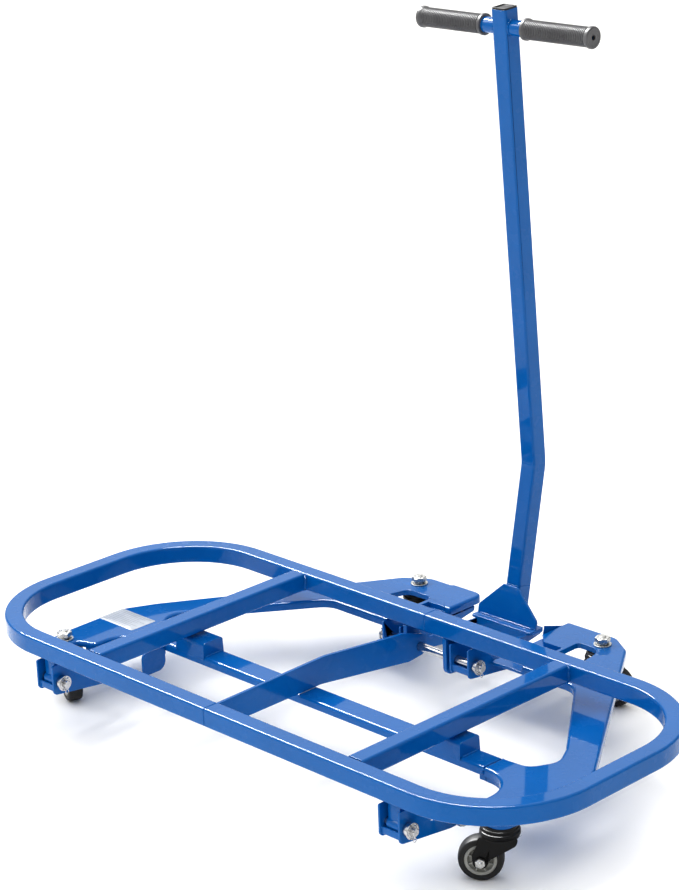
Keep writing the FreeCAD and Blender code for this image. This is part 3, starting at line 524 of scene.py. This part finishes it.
def caster_fasteners():
    """Nuts, threaded studs with their riveted feet, flat washers and lock washers of all four casters."""
    centres = [CASTER_AT[corner] for corner in CORNERS]
    nut_z = BASE_TOP + 5.5
    foot = [(66.7, 8.8), (66.7, 6.2), (94.4, 5.9), (94.4, NEAR_AXIS), (63.7, NEAR_AXIS), (63.7, 8.0),
            (64.6, 8.9)]
    made("caster_hex_nuts",
         [hex_bm(c + UP * nut_z * MM, UP, 22.0, 8.3, 6.05) for c in centres], "caster_nuts")
    made("caster_threaded_studs",
         [threaded_bm(c, UP, 6.0, BASE_TOP - 0.5, BASE_TOP + 15.4, 1.5) for c in centres]
         + [lathed(scaled(foot), c, UP, 48) for c in centres], "caster_studs")
    made("caster_ringed_washers",
         [disc_bm(c, UP, 14.4, 6.1, BASE_TOP, BASE_TOP + 2.4, 0.7, 0.35) for c in centres]
         + [spring_washer_bm(c, 10.4, 6.2, BASE_TOP + 2.5, BASE_TOP + 5.4) for c in centres],
         "caster_washers")


def rear_shaft():
    """Shaft with a groove near each end, and a collar, a washer and a split pin outside each lever."""
    lever_face = span("rear_lever_right")[1].x
    rings, pins = [], []
    for sign in (-1, 1):
        rings += collar_and_washer(at(sign * lever_face, REAR_Y, PIN_Z), X_AXIS * sign, 7.1)
        pins.append(split_pin_bm(at(sign * (lever_face + SPLIT_PIN_AT), REAR_Y, PIN_Z)))
    made("rear_ringed_washers", rings, "rear_shaft_washers")
    made("rear_wire_split_pins", pins, "rear_split_pins")
    low, high = span("rear_shaft")
    end = (low.x - high.x) / 2
    shaft = mirrored([(end, NEAR_AXIS), (end, 5.6), (end + 1.4, 7.0), (end + 5.6, 7.0), (end + 6.0, 6.5),
                      (end + 6.6, 6.5), (end + 7.0, 7.0)])
    made("rear_turned_shaft", [lathed(scaled(shaft), at(0, REAR_Y, PIN_Z), X_AXIS, 64)], "rear_shaft")


def clevis(side):
    """Headed pin of a front lever, its collar, washer and split pin on the lever's right."""
    low, high = span("front_lever_" + side)
    pin = [(-25.0, NEAR_AXIS), (-25.0, 5.2), (-24.2, 7.6), (-23.2, 8.4), (-21.1, 8.4), (-21.1, 6.0),
           (30.0, 6.0), (30.4, 5.6), (31.0, 5.6), (31.4, 6.0), (36.8, 6.0), (37.9, 4.9), (37.9, NEAR_AXIS)]
    middle = at((low.x + high.x) / 2, FRONT_Y, PIN_Z)
    made("turned_clevis_pin_" + side, [lathed(scaled(pin), middle, X_AXIS, 56)], "clevis_pin_" + side)
    made("ringed_clevis_washers_" + side, collar_and_washer(at(high.x, FRONT_Y, PIN_Z), X_AXIS, 6.1),
         "clevis_washers_" + side)
    made("wire_split_pin_" + side, [split_pin_bm(at(high.x + SPLIT_PIN_AT, FRONT_Y, PIN_Z))],
         "clevis_split_pin_" + side)


caster_fasteners()
rear_shaft()
for side in SIDES:
    clevis(side)


# ---- casters ----
def race_cups():
    """Ringed black cups around the ball races, on top of all four forks."""
    head = [(71.2, 22.9), (71.2, 28.0), (71.6, 28.5), (72.6, 28.5), (73.1, 28.0), (73.5, 28.0), (74.0, 28.5),
            (76.2, 28.5), (77.0, 27.9), (77.5, 26.9), (78.2, 26.5), (79.1, 26.5), (79.5, 26.1), (79.9, 26.5),
            (81.2, 26.5), (82.0, 25.8), (82.5, 24.8), (83.3, 24.5), (85.3, 24.5), (85.9, 23.9), (86.0, 23.0),
            (86.0, 6.1), (77.4, 6.1), (77.4, 22.9)]
    made("caster_race_cups", [lathed(scaled(head), CASTER_AT[c], UP, 96) for c in CORNERS],
         "caster_heads", 24.0)


def tyre(corner, hub, axle):
    """Moulded tyre with a parting line around its middle and a rim bead on each side."""
    tread = mirrored([(-12.0, 23.2), (-12.0, 27.2), (-11.7, 27.7), (-11.7, 28.1), (-12.0, 28.6),
                      (-11.6, 29.8), (-10.6, 31.0), (-8.6, 31.8), (-5.0, 32.3), (-0.7, 32.48), (-0.4, 32.25)])
    made("moulded_tyre_" + corner, [lathed(scaled(tread), hub, axle, 128)], "tyre_" + corner, 24.0)


def ribbed_hub(corner, hub, axle, ahead):
    """Plastic hub with a thin web and eight ribs."""
    rim = mirrored([(-14.0, 4.1), (-14.0, 7.9), (-13.2, 8.9), (-7.6, 9.4), (-7.0, 10.2), (-7.0, 16.4),
                    (-8.0, 17.6), (-11.4, 18.2), (-12.0, 18.9), (-12.0, 22.4), (-11.5, 22.95)])
    section = ((-10.2, -1), (-10.6, 0), (-10.2, 1), (10.2, 1), (10.6, 0), (10.2, -1))
    parts = [lathed(scaled(rim), hub, axle, 96)]
    ribs = 8
    for k in range(ribs):
        angle = 2 * math.pi * (k + 0.5) / ribs
        radial = ahead * math.cos(angle) + UP * math.sin(angle)
        flank = axle.cross(radial)
        rings = [[hub + radial * reach * MM + flank * b * thick * MM + axle * a * MM for a, b in section]
                 for reach, thick in ((8.4, 0.9), (18.6, 1.1))]
        parts.append(loft(rings, closed=False))
    made("ribbed_hub_" + corner, parts, "hub_" + corner, 28.0)


def axle_bolt(corner, hub, axle):
    """Bolt through the fork and the hub, with its head, thread and nut."""
    face = 17.0
    shank = [(-face - 0.1, NEAR_AXIS), (-face - 0.1, 4.0), (face + 1.0, 4.0), (face + 1.0, NEAR_AXIS)]
    made("axle_bolt_and_nut_" + corner, [
        lathed(scaled(shank), hub, axle, 40),
        threaded_bm(hub, axle, 4.0, face + 0.9, face + 8.2, 1.25),
        hex_bm(hub - axle * face * MM, -axle, 13.0, 5.4, 0.3, 0.1),
        hex_bm(hub + axle * face * MM, axle, 13.0, 6.4, 4.05, 0.5)], "axle_" + corner)


race_cups()
for corner in CORNERS:
    hub = centre_of("tyre_" + corner)
    ahead = hub - CASTER_AT[corner]
    ahead.z = 0
    ahead.normalize()
    axle = UP.cross(ahead)
    tyre(corner, hub, axle)
    ribbed_hub(corner, hub, axle, ahead)
    axle_bolt(corner, hub, axle)


# ---- handle: grips and cap ----
BAR = centre_of("grip_crossbar")


def ribbed_grip(sign, side):
    """Rubber sleeve: a flange, a run of ribs, and a thick closed end with a dimple."""
    low, high = span("grip_right")
    start, end, pitch = low.x, high.x, 3.4
    flange = ((0.05, 12.6), (0.05, 16.3), (0.8, 17.05), (4.4, 17.05), (5.2, 16.6), (6.2, 15.4), (7.4, 14.9))
    rib = ((0, 14.1), (0.6, 14.1), (1.1, 15.2), (1.5, 15.45), (2.3, 15.45), (2.7, 15.2), (3.2, 14.1))
    closed_end = ((8.6, 15.2), (6.4, 16.7), (5.4, 17.05), (1.8, 17.05), (0.7, 16.5), (0.1, 15.2), (0, 13.6),
                  (0.5, 12.6), (0.5, 6.0), (0.1, 5.4), (0.1, 4.4), (0.6, 4.0), (3.8, 4.0), (3.9, 12.6))
    first, last = start + 8.0, end - 9.5
    count = int((last - first) / pitch)
    sleeve = [(start + shift, r) for shift, r in flange]
    for k in range(count):
        sleeve += [(first + (last - first) * k / count + shift, r) for shift, r in rib]
    sleeve += [(end - shift, r) for shift, r in closed_end]
    made("ribbed_grip_" + side, [lathed(scaled(sleeve), Vector((0, BAR.y, BAR.z)), X_AXIS * sign, 96)],
         "grip_" + side, 26.0)


def handle_cap():
    """Plastic plug in the top of the handle tube, with a rounded rim and a recess in its face."""
    bend, seat = at(0, 483.5, 338.0), at(0, 433.0, 1082.0)
    upward = (seat - bend).normalized()
    sideways = Vector((0, upward.z, -upward.y))
    rings = []
    for size, radius, height in ((25.6, 1.6, -11.8), (25.8, 1.8, 0.05), (28.4, 3.6, 0.05), (28.9, 3.9, 0.5),
                                 (28.9, 3.9, 1.9), (28.2, 3.6, 2.7), (27.0, 3.2, 2.95), (24.6, 2.6, 2.95),
                                 (23.8, 2.4, 2.5), (23.4, 2.3, 1.4), (22.9, 2.2, 1.15), (14.0, 3.0, 1.2)):
        rings.append([seat + X_AXIS * a * MM + sideways * b * MM + upward * height * MM
                      for a, b in rounded_rectangle(size, size, radius, 6)])
    made("recessed_handle_cap", [loft(rings, closed=False)], "handle_cap", 30.0)


for sign, side in SIGNED_SIDES:
    ribbed_grip(sign, side)
handle_cap()


# ---- weld beads ----
LUG_TOP = HOOP_LOW.z / MM - 0.4


def weld(name, lines, body, radius):
    """Rippled beads along straight or bent lines of millimetre points; a bead thins out at both ends."""
    parts = []
    for number, line in enumerate(lines):
        points = []
        for start, end in zip(line, line[1:]):
            start, end = at(*start), at(*end)
            steps = max(2, int((end - start).length / (0.7 * MM)))
            points += [start.lerp(end, k / steps) for k in range(steps)]
        points.append(at(*line[-1]))

        def swell(t, total=len(points), number=number):
            ends = min(1.0, min(t, 1 - t) * total / 4 + 0.25)
            ripple = 0.10 * math.sin(t * total * 1.35 + number)
            ripple += 0.05 * math.sin(t * total * 0.41 + 2 * number)
            return radius * MM * ends * (1 + ripple)

        parts.append(swept(points, swell, across))
    from_bmesh(name, joined(parts), body, "blue_frame", 60.0)


def along_y(x, start, end, z):
    """Straight line square to the cart's length."""
    return [(x, start, z), (x, end, z)]


def upright(x, y, start, end):
    return [(x, y, start), (x, y, end)]


def cross_bar_welds(sign, side):
    """Beads up both sides and under each end of a cross bar, where it meets the long tubes."""
    low, high = span("cross_bar_right")
    inner, outer = sign * low.x, sign * high.x
    lines = []
    for y in (0.3 - high.y, high.y - 0.3):
        lines += [upright(x, y, low.z + 3, high.z - 3) for x in (inner, outer)]
        lines.append([(inner, y, low.z + 1.6), (outer, y, low.z + 1.6)])
    weld("cross_bar_welds_" + side, lines, "platform", 2.9)


def base_welds(sign, side):
    """Beads beside a rest saddle, and where an arm meets the cross channel."""
    low, high = span("rest_saddles")
    saddle_width = 66.0
    weld("rest_saddle_welds_" + side,
         [along_y(sign * x, low.y + 4, high.y - 4, BASE_TOP + 0.4)
          for x in (high.x - saddle_width - 0.4, high.x + 0.4)], "base", 1.7)
    low, high = span("cross_channel")
    weld("arm_welds_" + side,
         [upright(sign * x, y, BASE_TOP - 2, BASE_TOP - 12)
          for x, y in ((high.x + 0.5, high.y + 0.4), (high.x - 0.4, low.y - 0.4))], "base", 3.0)


def foot_plate_weld(sign, side):
    """Bead between the foot plate and the inner face of a rear lever."""
    low, high = span("foot_plate")
    weld("foot_plate_welds_" + side, [along_y(sign * (high.x + 0.4), low.y + 4, high.y - 3, 78.6)],
         "handle_lever", 1.8)


def lug_welds(sign, side):
    """Beads at the tops of the lugs that hang under the long tubes."""
    weld("front_lug_welds_" + side, [along_y(sign * x, -236, -225, LUG_TOP) for x in (366, 390)],
         "platform", 1.8)
    weld("rear_lug_welds_" + side, [along_y(sign * x, 220, 246, LUG_TOP) for x in (38.8, 47.2)],
         "platform", 1.6)


def middle_welds():
    """Beads at the front of the centre brace, and around the gusset on the foot plate."""
    low, high = span("centre_brace")
    weld("centre_brace_welds", [upright(x, low.y + 0.4, 128, 137) for x in (low.x - 0.2, high.x + 0.2)],
         "platform", 1.8)
    weld("gusset_foot_weld", [[(-57, 409.2, 83.4), (57, 409.2, 83.4)]], "handle_lever", 1.8)
    weld("gusset_side_welds", [[(x, 417.6, 95), (x, 425.2, 134)] for x in (-15.6, 15.6)], "handle_lever", 1.7)


def grip_bar_welds():
    """Ring of weld around the crossbar on each side of the handle tube."""
    ring = 12.8
    y, z = (BAR.y - MIDDLE_Y) / MM, BAR.z / MM
    turns = [math.radians(degrees) for degrees in range(0, 361, 15)]
    weld("grip_bar_welds", [[(x, y + ring * math.cos(t), z + ring * math.sin(t)) for t in turns]
                            for x in (-15.3, 15.3)], "handle_lever", 1.6)


for sign, side in SIGNED_SIDES:
    cross_bar_welds(sign, side)
    base_welds(sign, side)
    foot_plate_weld(sign, side)
    lug_welds(sign, side)
middle_welds()
grip_bar_welds()


# ---- label ----
def label():
    """Thin blank film, with faint ruled lines just above it in place of any print."""
    low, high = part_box("blank_label")
    centre = (low + high) / 2
    width, depth = high.x - low.x, high.y - low.y
    outline = rounded_rectangle(width, depth, 2.5 * MM, 5)
    rings = [[centre + Vector((x * s, y * s, z * MM)) for x, y in outline]
             for s, z in ((1.0, -0.2), (1.0, 0.02), (0.994, 0.1), (0.5, 0.1))]
    made("label_sheet", [loft(rings, closed=False)], "blank_label")
    thick, margin, z = 0.7 * MM, 6 * MM, centre.z + 0.16 * MM
    rules = []
    for row in range(9):
        y = high.y - (5.5 + 5.1 * row) * MM
        start = low.x + margin
        end = high.x - margin - 9 * (row % 3) * MM
        bm = bmesh.new()
        corners = ((start, y, z), (end, y, z), (end, y + thick, z), (start, y + thick, z))
        bm.faces.new([bm.verts.new(corner) for corner in corners])
        rules.append(bm)
    lines = from_bmesh("label_rules", joined(rules), "base", "label_film")
    lines.data.materials[0] = label_ink()


label()


# ---- stage, lights, camera ----
def plane(name, size, height):
    bm = bmesh.new()
    corners = [(-size, -size), (size, -size), (size, size), (-size, size)]
    bm.faces.new([bm.verts.new((x, y, height)) for x, y in corners])
    mesh = bpy.data.meshes.new(name)
    bm.to_mesh(mesh)
    bm.free()
    piece = bpy.data.objects.new(name, mesh)
    bpy.context.scene.collection.objects.link(piece)
    return piece


def studio_floor():
    """Pale matt floor with hardly visible cloudiness."""
    s = Shader("studio_floor")
    s.colour(s.mix(s.ranged(s.noise(0.6, 2.0), 0.0, 1.0), (0.965, 0.955, 0.935), (0.975, 0.965, 0.945)))
    s.rough(s.ranged(s.noise(3.0, 2.0), 0.80, 0.86))
    floor = plane("studio_floor", 30.0, 0.0)
    floor.data.materials.append(s.material)


def area_light(name, position, target, size, power, colour=(1.0, 1.0, 1.0)):
    data = bpy.data.lights.new(name, "AREA")
    data.shape = "RECTANGLE"
    data.size, data.size_y = size
    data.energy = power
    data.color = colour
    light = bpy.data.objects.new(name, data)
    bpy.context.scene.collection.objects.link(light)
    light.location = position
    light.rotation_euler = (Vector(target) - Vector(position)).to_track_quat("-Z", "Y").to_euler()
    light.visible_camera = False
    return light


def studio_world():
    """Room that is bright overhead and at the front left, with a glow behind, and pale to the camera."""
    world = bpy.data.worlds.new("studio")
    world.use_nodes = True
    tree = world.node_tree
    background = tree.nodes["Background"]
    place = tree.nodes.new("ShaderNodeTexCoord").outputs["Generated"]

    def towards(direction, start, end, low, high):
        """Strength that rises as a ray points more towards a direction."""
        dot = tree.nodes.new("ShaderNodeVectorMath")
        dot.operation = "DOT_PRODUCT"
        dot.inputs[1].default_value = Vector(direction).normalized()
        tree.links.new(place, dot.inputs[0])
        ramp = tree.nodes.new("ShaderNodeMapRange")
        for key, value in (("From Min", start), ("From Max", end), ("To Min", low), ("To Max", high)):
            ramp.inputs[key].default_value = value
        tree.links.new(dot.outputs["Value"], ramp.inputs["Value"])
        return ramp.outputs["Result"]

    def plus(first, second):
        add = tree.nodes.new("ShaderNodeMath")
        tree.links.new(first, add.inputs[0])
        tree.links.new(second, add.inputs[1])
        return add.outputs["Value"]

    overhead = towards((0.0, 0.0, 1.0), 0.05, 1.0, 0.05, 1.36)
    front_left = towards((-0.45, -0.85, 0.35), 0.5, 1.0, 0.0, 0.5)
    behind = towards((-0.68, 0.63, 0.37), 0.88, 0.97, 0.0, 0.52)
    glow = plus(plus(overhead, front_left), behind)
    seen = tree.nodes.new("ShaderNodeMix")
    tree.links.new(tree.nodes.new("ShaderNodeLightPath").outputs["Is Camera Ray"], seen.inputs["Factor"])
    tree.links.new(glow, seen.inputs["A"])
    seen.inputs["B"].default_value = 0.95
    tree.links.new(seen.outputs["Result"], background.inputs["Strength"])
    background.inputs["Color"].default_value = (1.0, 1.0, 1.0, 1.0)
    bpy.context.scene.world = world


CAMERA_POSITION = Vector((2.645, -2.604, 1.725))
CAMERA_AZIMUTH = 46.29          # turned from +Y towards -X
CAMERA_PITCH = 18.75            # below the horizon
CAMERA_ROLL = -2.335
CAMERA_LENS = 104.55


def camera():
    azimuth, pitch, roll = (math.radians(v) for v in (CAMERA_AZIMUTH, CAMERA_PITCH, CAMERA_ROLL))
    forward = Vector((-math.sin(azimuth) * math.cos(pitch), math.cos(azimuth) * math.cos(pitch),
                      -math.sin(pitch)))
    right = Vector((math.cos(azimuth), math.sin(azimuth), 0.0))
    up = right.cross(forward)
    turned_right = right * math.cos(roll) + up * math.sin(roll)
    turned_up = up * math.cos(roll) - right * math.sin(roll)
    data = bpy.data.cameras.new("photo_camera")
    data.lens = CAMERA_LENS
    data.clip_end = 200.0
    eye = bpy.data.objects.new("photo_camera", data)
    bpy.context.scene.collection.objects.link(eye)
    axes = Matrix((turned_right, turned_up, -forward)).transposed()
    eye.matrix_world = Matrix.Translation(CAMERA_POSITION) @ axes.to_4x4()
    bpy.context.scene.camera = eye


studio_floor()
studio_world()
CART = (0.0, 0.0, 0.15)         # what the lights point at
area_light("strip_softbox", (-4.2, -0.2, 4.6), CART, (6.0, 1.0), 120.0, (1.0, 0.99, 0.97))
edge_strip = area_light("edge_strip", (-2.5, 0.1, 5.6), CART, (1.6, 7.4), 1900.0)
edge_strip.visible_diffuse = False          # it only draws the bright lines on the tubes' edges
camera()
bpy.context.scene.view_settings.view_transform = "Standard"
bpy.context.scene.view_settings.look = "Medium High Contrast"
